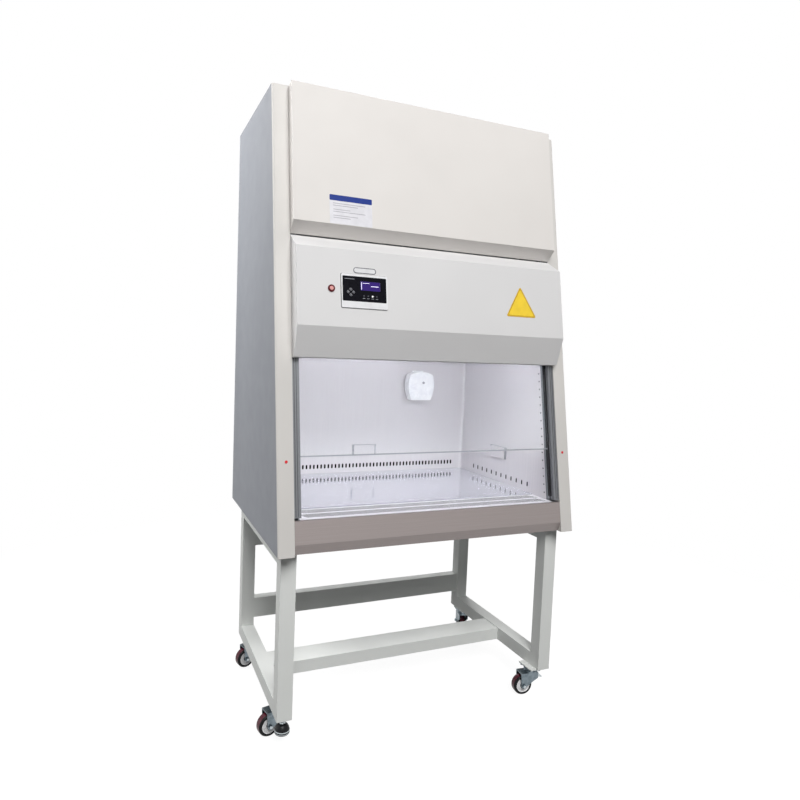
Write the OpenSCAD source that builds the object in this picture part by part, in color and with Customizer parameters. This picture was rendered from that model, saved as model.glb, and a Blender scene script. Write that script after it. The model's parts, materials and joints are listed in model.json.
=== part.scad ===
// Class II biological safety cabinet on a rolling stand.
// Millimetres. +Z is up, the front faces -Y, the origin is on the floor under the middle.

/* [Cabinet] */
// Width over the side panels
body_w = 1100; // [1000:10:1300]
// Depth at the foot of the slanted front
body_d = 800; // [760:10:860]
// Height of the cabinet without its stand
body_h = 1474; // [1440:2:1520]
// Lean of the front from the vertical, in degrees
front_tilt = 9.45; // [9:0.05:10]
// Thickness of the painted steel sheet
sheet = 2; // [1.5:0.1:2.5]
// Thickness of the stainless and inner sheet
liner = 1.5; // [1:0.1:2]
// Width of a front column
column_w = 52; // [48:1:56]
// Depth of a column behind its face
column_depth = 40; // [30:1:44]
// Outer bend radius of the columns
column_bend = 6; // [4:0.5:8]

/* [Service door and fascia] */
// Distance of the door's face from the columns
door_proud = 44; // [36:1:50]
// Length of the door along the slope
door_len = 482; // [460:1:482]
// Length of the chamfer at the door's foot
door_chamfer = 31; // [24:1:40]
// Distance of the fascia's face from the columns
fascia_proud = 67; // [58:1:72]
// Slope height of the fascia's top edge
fascia_top = 1000.6; // [990:0.2:1001]
// Slope height of the fascia's foot
fascia_foot = 609.6; // [600:0.2:620]
// Length of the fascia's upper chamfer
fascia_chamfer = 51.8; // [40:0.2:60]
// Length of the fascia's lower chamfer
fascia_skirt = 90.9; // [70:0.1:100]

/* [Sash] */
// Thickness of the sash glass
glass_t = 5; // [4:0.5:6]
// Length of the sash glass along the slope
sash_len = 545; // [540:1:560]
// Opening under the sash at rest, along the slope
sash_gap = 195; // [180:1:210]
// Depth of the glass behind the column face
sash_depth = 22; // [20:0.5:24]
// Radius of the balance pulleys
pulley_r = 12.5; // [10:0.5:14]

/* [Work chamber] */
// Inner width of the chamber
chamber_w = 956; // [940:2:960]
// Height of the work deck above the floor
deck_z = 765; // [750:1:780]
// Height of the chamber above the deck
chamber_h = 620; // [600:5:640]
// Space behind the chamber's back wall
duct_d = 103.5; // [80:0.5:120]
// Distance between return slots in the back wall
slot_pitch = 16; // [14:1:20]
// Width of a return slot
slot_w = 7.6; // [6:0.2:9]
// Height of a return slot
slot_h = 18.5; // [14:0.5:22]
// Number of return slots in the back wall
slot_count = 54; // [40:1:56]
// Distance between the diagonal slots of the front grille
grille_pitch = 7.5; // [7:0.5:10]
// Width of a diagonal grille slot
grille_slot_w = 3.2; // [2:0.1:4]
// Length of a diagonal grille slot
grille_slot_l = 46; // [36:1:50]

/* [Stand] */
// Height of the stand
stand_h = 656; // [600:1:700]
// Height of the leg ends above the floor
leg_z = 108; // [100:1:120]
// Width of the square legs
leg = 50; // [40:1:50]
// Inset of the legs from the side panels
leg_inset = 24; // [20:1:40]
// Wall of the stand tubes
tube_wall = 2; // [1.5:0.1:3]
// Height of the lower side rails
low_rail_h = 50; // [40:1:60]
// Height of the rear rails
rear_rail_h = 80; // [60:1:100]
// Depth of the flat stretcher between the sides
stretcher_d = 102; // [80:1:110]

/* [Casters and feet] */
// Radius of a caster wheel
wheel_r = 37.5; // [35:0.5:40]
// Width of a caster wheel
wheel_w = 30; // [26:1:32]
// Distance from swivel axis to wheel axle
trail = 34; // [30:1:38]
// Radius of a levelling foot
foot_r = 24.5; // [20:0.5:26]
// Height of a raised levelling foot above the floor
foot_lift = 57; // [20:1:58]

/* [Blower] */
// Height of the blower axis above the floor
blower_z = 1690; // [1670:5:1710]
// Radius of the impeller
impeller_r = 105; // [95:1:110]
// Number of impeller blades
blade_count = 36; // [24:1:48]
// Growth of the scroll in each quarter turn
scroll_step = 20; // [16:1:20]

/* [Hidden] */
$fn = 48;

back_y = body_d / 2;
front_y = -body_d / 2;
total_h = stand_h + body_h;
side_x = body_w / 2;
column_x = side_x - column_w;
gap = 0.5;

// Slope height of a point of the front plane at height z
function slope_s(z) = (z - stand_h) / cos(front_tilt);
// Y of the front plane at height z
function front_at(z) = front_y + (z - stand_h) * tan(front_tilt);
// World Y and Z of a point at depth n and slope height s
function world_y(n, s) = front_y + s * sin(front_tilt) + n * cos(front_tilt);
function world_z(n, s) = stand_h + s * cos(front_tilt) - n * sin(front_tilt);

// A box between two corners
module slab(low, high) translate(low) cube(high - low);

// A round bar across the width, centred on a point
module bar(at, r, length) translate(at) rotate([0, 90, 0]) cylinder(r = r, h = length, center = true);

// Stretches a profile drawn in (depth, height) across the width
module across(x0, x1) translate([x0, 0, 0]) rotate([90, 0, 90]) linear_extrude(x1 - x0) children();

// Stretches a profile drawn in (width, height) from y0 back to y1
module through(y0, y1) translate([0, y1, 0]) rotate([90, 0, 0]) linear_extrude(y1 - y0) children();

// The leaning frame of the front: X across, Y in from the columns, Z up the slope
module on_slope() translate([0, front_y, stand_h]) rotate([-front_tilt, 0, 0]) children();

// A copy on the left of what is drawn on the right
module to_left() mirror([1, 0, 0]) children();

module both_sides() { children(); to_left() children(); }

// A rectangle with round corners, centred
module round_rect(w, h, r) {
    square([w, h - 2 * r], center = true);
    square([w - 2 * r, h], center = true);
    for (x = [-1, 1], y = [-1, 1]) translate([x * (w / 2 - r), y * (h / 2 - r)]) circle(r);
}

// ---- Cabinet shell ----

panel_back_flange = 20;
panel_front_gap = 8;
panel_edge = panel_front_gap / cos(front_tilt) + gap / 2;

module side_panel_right() color([0.72, 0.74, 0.76]) {
    across(side_x - sheet, side_x) polygon([
        [back_y, stand_h], [back_y, total_h],
        [front_at(total_h) + panel_edge, total_h],
        [front_at(stand_h) + panel_edge, stand_h]]);
    slab([side_x - panel_back_flange, back_y - sheet, stand_h], [side_x, back_y, total_h - sheet]);
}
module side_panel_left() to_left() side_panel_right();

column_return = 14;

// Folded front column: rounded outer bend, face, and a deep return beside the window
module column_right() color([0.90, 0.90, 0.89]) intersection() {
    on_slope() translate([0, 0, -20]) linear_extrude(body_h * 1.05) {
        translate([column_x, 0]) square([column_w - column_bend, sheet]);
        translate([column_x, 0]) square([sheet, column_depth]);
        translate([column_x, column_depth - sheet]) square([column_return, sheet]);
        translate([side_x - sheet, column_bend]) square([sheet, panel_front_gap - column_bend]);
        translate([side_x - column_bend, column_bend]) intersection() {
            difference() { circle(column_bend); circle(column_bend - sheet); }
            translate([0, -column_bend]) square(column_bend);
        }
    }
    slab([-side_x, front_y, stand_h], [side_x, back_y, total_h - sheet]);
}
module column_left() to_left() column_right();

rear_y = back_y - sheet;
gland_r = 11;
gland_pos = [430, 760];
rib = [960, 6, 24];
rib_heights = [1000, 1400, 1800];

module rear_panel() color([0.74, 0.75, 0.76]) {
    difference() {
        slab([-side_x + sheet, rear_y - sheet, stand_h + sheet], [side_x - sheet, rear_y, total_h - sheet]);
        translate([gland_pos[0], rear_y + 1, gland_pos[1]]) rotate([90, 0, 0]) cylinder(r = gland_r, h = 10);
    }
    // pressed stiffening ribs
    for (z = rib_heights) translate([-rib[0] / 2, rear_y - sheet - rib[1], z]) cube(rib);
}

vent_hole = 26;
vent_pitch = 40;
vent_first_y = -30;
vent_columns = 14;
vent_rows = 8;
header_low = 1440;

module top_panel() color([0.88, 0.88, 0.87]) {
    difference() {
        slab([-side_x + sheet, front_at(total_h) + sheet, total_h - sheet], [side_x - sheet, rear_y, total_h]);
        for (i = [0:vent_columns - 1], j = [0:vent_rows - 1])
            translate([(i - (vent_columns - 1) / 2) * vent_pitch, vent_first_y + j * vent_pitch, total_h - 5])
                cylinder(d = vent_hole, h = 10);
    }
    // header that the door hangs from
    intersection() {
        on_slope() slab([-column_x + gap, sheet, header_low], [column_x - gap, 2 * sheet, body_h * 1.1]);
        slab([-side_x, front_y, stand_h], [side_x, back_y, total_h - sheet / 2]);
    }
}

base_front = column_depth + 2;
runner = [24, 720, 12];

module base_panel() color([0.74, 0.75, 0.76]) {
    slab([-side_x + sheet, front_y + base_front, stand_h], [side_x - sheet, rear_y - sheet, stand_h + sheet]);
    for (x = [-200, 200]) translate([x - runner[0] / 2, 20 - runner[1] / 2, stand_h + sheet]) cube(runner);
}

// ---- Service door ----

door_top = (body_h - door_proud * sin(front_tilt)) / cos(front_tilt);
door_foot = door_top - door_len;
door_half = column_x;
door_back = 1.5;
door_axis = [-5, door_top - 5];
knuckle_r = 4.5;
knuckle_len = 25;
knuckle_mid = 30;
hinge_pin_r = 2.5;
hinge_x = 330;
leaf_drop = 45;
hat_x = 200;
hat_half = 20;
hat_margin = 60;
running = 0.05;

module service_door() color([0.90, 0.89, 0.87]) on_slope() {
    difference() {
        union() {
            difference() {
                across(-door_half, door_half) polygon([[-door_back, door_foot],
                    [-door_proud, door_foot + door_chamfer], [-door_proud, door_top], [-door_back, door_top]]);
                across(-door_half + liner, door_half - liner) polygon([[1, door_foot + liner],
                    [-door_back, door_foot + liner], [-door_proud + liner, door_foot + door_chamfer + 1],
                    [-door_proud + liner, door_top - liner], [1, door_top - liner]]);
            }
            // hat-section stiffeners
            for (x = [-hat_x, hat_x]) slab([x - hat_half, -door_proud + liner, door_foot + hat_margin],
                [x + hat_half, -door_proud + 10, door_top - hat_margin]);
            for (x = [-hinge_x, hinge_x]) bar([x, door_axis[0], door_axis[1]], knuckle_r, knuckle_mid + 2 * knuckle_len);
        }
        for (x = [-hinge_x, hinge_x]) {
            slab([x - knuckle_mid / 2 - gap, door_axis[0] - 6, door_top - leaf_drop - 5],
                [x + knuckle_mid / 2 + gap, 1, door_top + 1]);
            bar([x, door_axis[0], door_axis[1]], hinge_pin_r + running, 120);
        }
    }
}

// Two butt hinges: fixed leaf, middle knuckle and pin
module hinge_pins() color([0.6, 0.6, 0.62]) on_slope() for (x = [-hinge_x, hinge_x]) {
    slab([x - knuckle_mid / 2, -1.5, door_top - leaf_drop], [x + knuckle_mid / 2, sheet, door_axis[1]]);
    translate([x, door_axis[0], door_axis[1]]) rotate([0, 90, 0]) {
        cylinder(r = knuckle_r, h = knuckle_mid, center = true);
        cylinder(r = hinge_pin_r, h = knuckle_mid + 2 * knuckle_len, center = true);
    }
}

// ---- Control fascia ----

panel_x = -277.6;
panel_s = 816;
panel_w = 156;
panel_h = 108;
panel_t = 4;
panel_box = [132, 84, 24];
power_x = -387.5;
power_s = 820;
power_r = 6;
bezel_r = 11.5;
bezel_neck = 9;
skirt_foot_n = -22;

module fascia() color([0.87, 0.87, 0.87]) on_slope() difference() {
    across(-column_x, column_x) polygon([[-1, fascia_top],
        [-fascia_proud, fascia_top - fascia_chamfer],
        [-fascia_proud, fascia_foot + fascia_skirt],
        [skirt_foot_n, fascia_foot], [-1, fascia_foot]]);
    across(-column_x + liner, column_x - liner) polygon([[1, fascia_top - 2.2], [-1, fascia_top - 2.2],
        [-fascia_proud + liner, fascia_top - fascia_chamfer - 1],
        [-fascia_proud + liner, fascia_foot + fascia_skirt + 0.5],
        [skirt_foot_n + 0.8, fascia_foot + liner], [1, fascia_foot + liner]]);
    translate([panel_x, -fascia_proud, panel_s])
        cube([panel_box[0] + 4, 10, panel_box[1] + 4], center = true);
    translate([power_x, -fascia_proud, power_s]) rotate([90, 0, 0])
        cylinder(r = bezel_neck + gap, h = 10, center = true);
}

key_reach = 9;
key_r = 4.1;
key_proud = 1.2;
key_centre = [-324.6, 812];
lcd_centre = [-258.3, 834];
lcd_size = [68, 30];

module control_panel() color([0.93, 0.93, 0.93]) on_slope() difference() {
    union() {
        translate([panel_x, 0, panel_s]) through(-fascia_proud - panel_t, -fascia_proud)
            round_rect(panel_w, panel_h, 4);
        translate([panel_x, -fascia_proud + panel_box[2] / 2 - 0.01, panel_s])
            cube([panel_box[0], panel_box[2], panel_box[1]], center = true);
    }
    // window for the display
    translate([lcd_centre[0], -fascia_proud - panel_t, lcd_centre[1]])
        cube([lcd_size[0], 3, lcd_size[1]], center = true);
    for (p = [[0, 1], [0, -1], [1, 0], [-1, 0]])
        translate([key_centre[0] + p[0] * key_reach, -fascia_proud + 3, key_centre[1] + p[1] * key_reach])
            rotate([90, 0, 0]) cylinder(r = key_r + 0.1, h = 12);
}

// One key cap of the arrow cross
module key_cap(dx, ds) color([0.25, 0.25, 0.28]) on_slope()
    translate([key_centre[0] + dx * key_reach, -fascia_proud + 1, key_centre[1] + ds * key_reach])
        rotate([90, 0, 0]) cylinder(r = key_r, h = panel_t + 1 + key_proud);
module key_up() key_cap(0, 1);
module key_down() key_cap(0, -1);
module key_left() key_cap(-1, 0);
module key_right() key_cap(1, 0);

module power_bezel() color([0.75, 0.1, 0.1]) on_slope()
    translate([power_x, -fascia_proud, power_s]) rotate([90, 0, 0]) difference() {
        union() {
            cylinder(r = bezel_r, h = 2.5);
            translate([0, 0, -14]) cylinder(r = bezel_neck, h = 15);
        }
        translate([0, 0, -20]) cylinder(r = power_r + running, h = 30);
    }

module power_button() color([0.9, 0.6, 0.6]) on_slope()
    translate([power_x, -fascia_proud + 16, power_s]) rotate([90, 0, 0]) cylinder(r = power_r, h = 20.5);

// ---- Sash, guides and balance ----

window_foot = slope_s(762);
sash_s = window_foot + sash_gap;
sash_half = 486;
rail_in = 475.5;
rail_out = column_x - gap;
rail_foot = window_foot + 9;
rail_top = 1430;
rail_near = 2.5;
rail_far = 47;
groove_gap = 0.6;

module sash_glass() color([0.75, 0.85, 0.85, 0.35]) on_slope()
    slab([-sash_half, sash_depth, sash_s], [sash_half, sash_depth + glass_t, sash_s + sash_len]);

// Aluminium strip clamped along the glass's lower edge
module sash_strip() color([0.78, 0.79, 0.8]) on_slope() difference() {
    slab([-rail_in + 2, sash_depth - 1, sash_s - 2], [rail_in - 2, sash_depth + glass_t + 1, sash_s + 2.5]);
    slab([-rail_in, sash_depth - running, sash_s - running],
        [rail_in, sash_depth + glass_t + running, sash_s + 20]);
}

shaft_n = 37.5;
shaft_s = 1400;
shaft_r = 6;
pulley_x = 440;
pulley_half = 8;

module guide_rail() difference() {
    translate([0, 0, rail_foot]) linear_extrude(rail_top - rail_foot) difference() {
        translate([rail_in, rail_near]) square([rail_out - rail_in, rail_far - rail_near]);
        translate([rail_in - 1, sash_depth - groove_gap]) square([15, glass_t + 2 * groove_gap]);
        for (n = [[rail_near + 2, sash_depth - 3], [sash_depth + glass_t + 3, rail_far - 2]])
            translate([rail_in + 2, n[0]]) square([rail_out - rail_in - 4, n[1] - n[0]]);
    }
    translate([rail_in - 1, shaft_n, shaft_s]) rotate([0, 90, 0]) cylinder(r = shaft_r + running, h = 10);
}
module guide_rails() color([0.78, 0.79, 0.8]) on_slope() both_sides() guide_rail();

module balance_shaft() color([0.6, 0.6, 0.62]) on_slope() translate([0, shaft_n, shaft_s])
    rotate([0, 90, 0]) {
    cylinder(r = shaft_r, h = 2 * rail_in + 16, center = true);
    for (x = [-pulley_x, pulley_x]) translate([0, 0, x]) rotate_extrude() polygon([[0, -pulley_half],
        [pulley_r + 3, -pulley_half], [pulley_r, -4], [pulley_r, 4], [pulley_r + 3, pulley_half],
        [0, pulley_half]]);
}

weight_s = 1120;
weight_size = [900, 16, 56];

module counterweight() color([0.4, 0.4, 0.42]) on_slope() difference() {
    translate([-weight_size[0] / 2, shaft_n + pulley_r - weight_size[1] / 2 + 1, weight_s]) cube(weight_size);
    for (x = [-pulley_x, pulley_x]) translate([x, 0, weight_s + weight_size[2] - 12]) rotate([-90, 0, 0])
        cylinder(r = 4, h = 100);
}

// ---- Work chamber ----

wall_x = chamber_w / 2;
liner_back = back_y - 2 * sheet + 2 * gap - duct_d + gap;
chamber_low = 700;
chamber_top = deck_z + chamber_h;
wall_front = 49;
slot_low = 785;

// Upright slot with round ends, from its lower end up
module upright_slot() {
    translate([-slot_w / 2, slot_w / 2]) square([slot_w, slot_h - slot_w]);
    for (z = [slot_w / 2, slot_h - slot_w / 2]) translate([0, z]) circle(slot_w / 2, $fn = 24);
}

cove_r = 12;

// Back wall: a row of return slots, and a coved corner up each side for wiping down
module chamber_back() color([0.80, 0.80, 0.83]) {
    through(liner_back, liner_back + liner) difference() {
        translate([-wall_x - liner, chamber_low]) square([2 * (wall_x + liner), chamber_top - chamber_low]);
        for (i = [0:slot_count - 1])
            translate([(i - (slot_count - 1) / 2) * slot_pitch, slot_low]) upright_slot();
    }
    both_sides() translate([wall_x - gap - cove_r, liner_back - cove_r, deck_z + gap])
        linear_extrude(chamber_top - deck_z - 2 * gap) difference() {
            square([cove_r, cove_r + gap]);
            circle(cove_r);
        }
}

side_slot_count = 12;
side_slot_pitch = 35.7;
side_slot_back = 181;
side_hole_count = 17;
side_hole_pitch = 29.7;
side_hole_r = 3.2;

// Side wall with a row of return slots and a line of small holes beside the window
module chamber_side_right() color([0.80, 0.80, 0.83]) across(wall_x, wall_x + liner) difference() {
    polygon([[liner_back - gap, chamber_low], [liner_back - gap, chamber_top],
        [front_at(chamber_top) + wall_front / cos(front_tilt), chamber_top],
        [front_at(chamber_low) + wall_front / cos(front_tilt), chamber_low]]);
    for (i = [0:side_slot_count - 1])
        translate([side_slot_back - i * side_slot_pitch, slot_low]) upright_slot();
    for (i = [0:side_hole_count - 1]) let (s = slope_s(766) + i * side_hole_pitch)
        translate([world_y(61, s), world_z(61, s)]) circle(side_hole_r, $fn = 24);
}
module chamber_side_left() to_left() chamber_side_right();

deck_half = wall_x - 1.5;
deck_front = -247;
deck_lip = 18;

deck_back = liner_back - 1.5;

// Deck outline: square in front, rounded at the back to clear the coved corners
module deck_outline(inset) {
    r = cove_r - 1 - inset;
    wide = deck_half - inset;
    deep = deck_back - deck_front - 2 * inset;
    translate([-wide, deck_front + inset]) square([2 * wide, deep - r]);
    translate([-wide + r, deck_front + inset]) square([2 * (wide - r), deep]);
    for (x = [-1, 1]) translate([x * (wide - r), deck_back - inset - r]) circle(r);
}
module work_deck() color([0.86, 0.86, 0.88]) difference() {
    translate([0, 0, deck_z - deck_lip]) linear_extrude(deck_lip) deck_outline(0);
    translate([0, 0, deck_z - deck_lip - 1]) linear_extrude(deck_lip + 1 - liner) deck_outline(liner);
}

grille_z = 762;
grille_front = -371;
grille_rows = [-277, -329];
grille_angle = 28;
grille_count = 122;

// Intake grille: two rows of diagonal slots in a folded stainless strip
module front_grille() color([0.82, 0.82, 0.84]) {
    translate([0, 0, grille_z - liner]) linear_extrude(liner) difference() {
        translate([-deck_half, grille_front]) square([2 * deck_half, deck_front - 2 - grille_front]);
        for (y = grille_rows, i = [0:grille_count - 1])
            translate([(i - (grille_count - 1) / 2) * grille_pitch, y]) rotate(grille_angle)
                square([grille_slot_w, grille_slot_l], center = true);
    }
    for (y = [grille_front, deck_front - 2 - liner])
        slab([-deck_half, y, grille_z - deck_lip], [deck_half, y + liner, grille_z - liner]);
}

pan_z = 690;

module drain_pan() color([0.78, 0.78, 0.8]) difference() {
    slab([-deck_half, -350, pan_z], [deck_half, deck_back, deck_z - deck_lip - 4]);
    slab([-deck_half + liner, -350 + liner, pan_z + liner], [deck_half - liner, deck_back - liner, deck_z]);
    translate([300, 200, pan_z - 1]) cylinder(r = 12, h = 5);
}

apron_half = column_x - gap;
apron_edge = 691;

// Front apron: folded cover below the opening, with a chamfered foot
module apron() color([0.62, 0.58, 0.56]) difference() {
    across(-apron_half, apron_half) polygon([[front_at(grille_z), grille_z],
        [front_at(apron_edge), apron_edge], [front_at(stand_h) + 18, stand_h + 2],
        [front_at(stand_h) + 40, stand_h + 2], [front_at(stand_h) + 40, stand_h + 2 + liner],
        [front_at(grille_z) + 9, grille_z]]);
    across(-apron_half + liner, apron_half - liner) polygon([[front_at(grille_z) + 1.6, grille_z - liner],
        [front_at(apron_edge) + 1.6, apron_edge + 0.4], [front_at(stand_h) + 18.7, stand_h + 2 + liner],
        [front_at(stand_h) + 60, stand_h + 2 + liner], [front_at(stand_h) + 60, grille_z - liner]]);
}

// ---- Air path ----

vent_y0 = -185;
diffuser_hole_r = 10;
diffuser_pitch = 39;
diffuser_columns = 24;
diffuser_rows = 12;

// Perforated air diffuser with its front light shield
module diffuser() color([0.9, 0.9, 0.9]) {
    translate([0, 0, chamber_top]) linear_extrude(liner) difference() {
        translate([-wall_x, vent_y0]) square([2 * wall_x, liner_back - vent_y0]);
        for (i = [0:diffuser_columns - 1], j = [0:diffuser_rows - 1])
            translate([(i - (diffuser_columns - 1) / 2) * diffuser_pitch, vent_y0 + 26 + j * diffuser_pitch])
                circle(diffuser_hole_r, $fn = 24);
    }
    intersection() {
        on_slope() slab([-wall_x + 1, wall_front, 640], [wall_x - 1, wall_front + liner, 900]);
        slab([-side_x, front_y, 0], [side_x, back_y, chamber_top + liner]);
    }
    slab([-wall_x, world_y(wall_front, slope_s(chamber_top)), chamber_top],
        [wall_x, vent_y0 + 1, chamber_top + liner]);
}

// Deep-pleat filter: aluminium frame round a folded pack
module filter_pack(half_w, y0, y1, z0, z1, pleats) {
    frame_t = 12;
    difference() {
        slab([-half_w, y0, z0], [half_w, y1, z1]);
        slab([-half_w + frame_t, y0 + frame_t, z0 - 1], [half_w - frame_t, y1 - frame_t, z1 + 1]);
    }
    pitch = 2 * (half_w - frame_t) / pleats;
    media = 2.5;
    through(y0 + frame_t - 0.1, y1 - frame_t + 0.1) polygon(concat(
        [for (i = [0:pleats]) [-half_w + frame_t + i * pitch, i % 2 == 0 ? z0 + 4 : z1 - 4 - media]],
        [for (i = [pleats:-1:0]) [-half_w + frame_t + i * pitch, i % 2 == 0 ? z0 + 4 + media : z1 - 4]]));
}

supply_z = chamber_top + 4;
filter_t = 69;
plenum_half = 472;
module supply_filter() color([0.92, 0.92, 0.9])
    filter_pack(plenum_half, vent_y0, liner_back - 3, supply_z, supply_z + filter_t, 60);

plenum_z = supply_z + filter_t + 3;
plenum_top = 1860;
plenum_front = -90;
exhaust_z = plenum_top + 4;
module exhaust_filter() color([0.92, 0.92, 0.9])
    filter_pack(300, -60, 280, exhaust_z, exhaust_z + filter_t, 40);

inlet_r = 85;
inlet_y = liner_back - 5;

// Pressure plenum above the supply filter, with the blower's inlet and the exhaust opening
module plenum() color([0.78, 0.79, 0.8]) difference() {
    across(-plenum_half, plenum_half) polygon([[vent_y0, plenum_z], [inlet_y, plenum_z], [inlet_y, plenum_top],
        [plenum_front, plenum_top], [plenum_front, plenum_z + 110], [vent_y0, plenum_z + 12]]);
    across(-plenum_half + liner, plenum_half - liner) polygon([[vent_y0 + liner, plenum_z - 1],
        [inlet_y - liner, plenum_z - 1],
        [inlet_y - liner, plenum_top - liner], [plenum_front + liner, plenum_top - liner],
        [plenum_front + liner, plenum_z + 109.2], [vent_y0 + liner, plenum_z + 11.2]]);
    slab([-285, -45, plenum_top - 10], [285, 265, plenum_top + 10]);
    translate([0, inlet_y - 10, blower_z]) rotate([-90, 0, 0]) cylinder(r = inlet_r + 6, h = 20);
}

scroll_y0 = 110;
scroll_y1 = 250;
scroll_r0 = impeller_r + 13;
scroll_tongue = 8;
outlet_z = 1500;
axle_r = 6;
motor_r = 56;
motor_flange_r = 72;

// Scroll outline: four quarter arcs on the corners of a square, each a step larger
module scroll_outline(inset) {
    half = scroll_step / 2;
    square(scroll_step, center = true);
    for (q = [0:3]) let (c = [[-half, half], [-half, -half], [half, -half], [half, half]][q],
        r = scroll_r0 + q * scroll_step - inset)
        translate(c) rotate(90 * q) intersection() { circle(r, $fn = 96); square(2 * r); }
    translate([scroll_r0 - half - scroll_tongue + inset, half])
        square([4 * scroll_step + scroll_tongue - 2 * inset, blower_z - outlet_z - half + (inset > 0 ? 1 : 0)]);
}

module blower_housing() color([0.72, 0.73, 0.75]) difference() {
    union() {
        translate([0, 0, blower_z]) through(scroll_y0, scroll_y1) rotate(180) scroll_outline(0);
        translate([0, scroll_y1 - 1, blower_z]) rotate([-90, 0, 0])
            cylinder(r = inlet_r + liner, h = inlet_y - scroll_y1 + 3);
    }
    translate([0, 0, blower_z]) through(scroll_y0 + liner, scroll_y1 - liner) rotate(180) scroll_outline(liner);
    translate([0, scroll_y1 - 10, blower_z]) rotate([-90, 0, 0]) cylinder(r = inlet_r, h = 100);
    translate([0, scroll_y0 - 10, blower_z]) rotate([-90, 0, 0]) cylinder(r = motor_r + 4.5, h = 30);
}

blade_y0 = 128;
blade_y1 = 236;

// Forward-curved impeller on the motor shaft
module impeller() color([0.66, 0.68, 0.7]) translate([0, blade_y0, blower_z]) rotate([-90, 0, 0]) difference() {
    union() {
        cylinder(r = impeller_r, h = 2);
        cylinder(r = 17, h = 34);
        translate([0, 0, blade_y1 - blade_y0 - 3]) difference() {
            cylinder(r = impeller_r, h = 3);
            translate([0, 0, -1]) cylinder(r = impeller_r - 16, h = 5);
        }
        for (i = [0:blade_count - 1]) rotate(i * 360 / blade_count) translate([impeller_r - 8.5, 3, 1])
            linear_extrude(blade_y1 - blade_y0 - 2) intersection() {
                difference() { circle(9, $fn = 32); circle(7.8, $fn = 32); }
                translate([-8, 0]) square([15, 12]);
            }
    }
    translate([0, 0, -1]) cylinder(r = axle_r + running, h = 40);
}

module motor() color([0.45, 0.47, 0.5]) translate([0, 0, blower_z]) rotate([-90, 0, 0]) {
    translate([0, 0, 12]) cylinder(r = motor_r, h = 92);
    translate([0, 0, 102]) difference() {
        cylinder(r = motor_flange_r, h = 8);
        for (a = [45:90:315]) rotate(a) translate([motor_flange_r - 7, 0, -1]) cylinder(r = 3, h = 10);
    }
    translate([0, 0, 100]) cylinder(r = axle_r, h = 58);
    for (a = [0:15:345]) rotate(a) translate([motor_r - 2, -1.5, 20]) cube([7, 3, 72]);
}

// ---- Lamps ----

lamp_y = -200;
lamp_z = 1335;
lamp_len = 880;
uv_len = 440;
module lamp() color([0.97, 0.97, 1]) translate([0, lamp_y, lamp_z]) {
    rotate([0, 90, 0]) cylinder(r = 13, h = lamp_len, center = true);
    for (x = [-1, 1]) translate([x * (lamp_len / 2 + 12), 0, 8]) cube([30, 34, 50], center = true);
    slab([-466, -20, 33], [466, 20, chamber_top - lamp_z - gap]);
}

uv_y = 272;
module uv_lamp() color([0.9, 0.9, 0.95]) translate([0, uv_y, lamp_z]) {
    rotate([0, 90, 0]) cylinder(r = 8, h = uv_len, center = true);
    for (x = [-1, 1]) translate([x * (uv_len / 2 + 5), 5, 0])
        cube([20, 2 * (liner_back - uv_y - 5.5), 30], center = true);
}

// ---- Sockets ----

flip_w = 108;
flip_h = 40;
flip_pin_r = 1.5;
flip_back_at = [-10, liner_back - gap, 857];
flip_side_at = [wall_x - gap, -10, 885];

// Base plate of a flip-cover socket, its back at y = 0, with the hinge pin along its top
module flip_plate() {
    slab([-flip_w / 2, -3, -flip_h / 2], [flip_w / 2, 0, flip_h / 2 + 8]);
    for (x = [-1, 1]) translate([x * (flip_w / 2 - 3), -5, flip_h / 2 + 4]) cube([6, 7, 6], center = true);
    bar([0, -6, flip_h / 2 + 4], flip_pin_r, flip_w - 2);
}
// Sprung stainless cover that turns on the pin
module flip_cover() difference() {
    union() {
        slab([-flip_w / 2 + 7, -7, -flip_h / 2], [flip_w / 2 - 7, -5, flip_h / 2 + 4]);
        slab([-flip_w / 2 + 7, -9, -flip_h / 2], [flip_w / 2 - 7, -5, -flip_h / 2 + 2]);
        bar([0, -6, flip_h / 2 + 4], 2.7, flip_w - 14);
    }
    bar([0, -6, flip_h / 2 + 4], flip_pin_r + running, flip_w);
}
module socket_plates() color([0.8, 0.8, 0.83]) {
    translate(flip_back_at) flip_plate();
    translate(flip_side_at) rotate(-90) flip_plate();
}
module flip_cover_back() color([0.75, 0.75, 0.78]) translate(flip_back_at) flip_cover();
module flip_cover_side() color([0.75, 0.75, 0.78]) translate(flip_side_at) rotate(-90) flip_cover();

outlet_at = [232, liner_back - gap, 1146];
outlet_axis = [-4, 60];
outlet_pin_r = 1.5;

// Splash-proof outlet: base with a recessed face, hinge ears and pin
module outlet_box() color([0.95, 0.95, 0.94]) translate(outlet_at) {
    difference() {
        through(-20, 0) round_rect(96, 92, 8);
        through(-21, -14) square([60, 56], center = true);
    }
    for (x = [-1, 1]) slab([x * 23 - 4, -7, 42], [x * 23 + 4, 0, outlet_axis[1] + 3]);
    bar([0, outlet_axis[0], outlet_axis[1]], outlet_pin_r, 48);
}

cover_depth = 48;
cover_back = 8;
// Bulged cover that swings up over the outlet
module outlet_cover() color([0.95, 0.96, 0.97]) translate(outlet_at) difference() {
    union() {
        difference() {
            through(-cover_depth, -cover_back) cover_outline(0);
            through(-cover_depth + 2, 1) cover_outline(2);
        }
        bar([0, outlet_axis[0], outlet_axis[1]], 3, 36);
        slab([-18, -14, 56], [18, outlet_axis[0], outlet_axis[1]]);
    }
    bar([0, outlet_axis[0], outlet_axis[1]], outlet_pin_r + running, 100);
}
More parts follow.
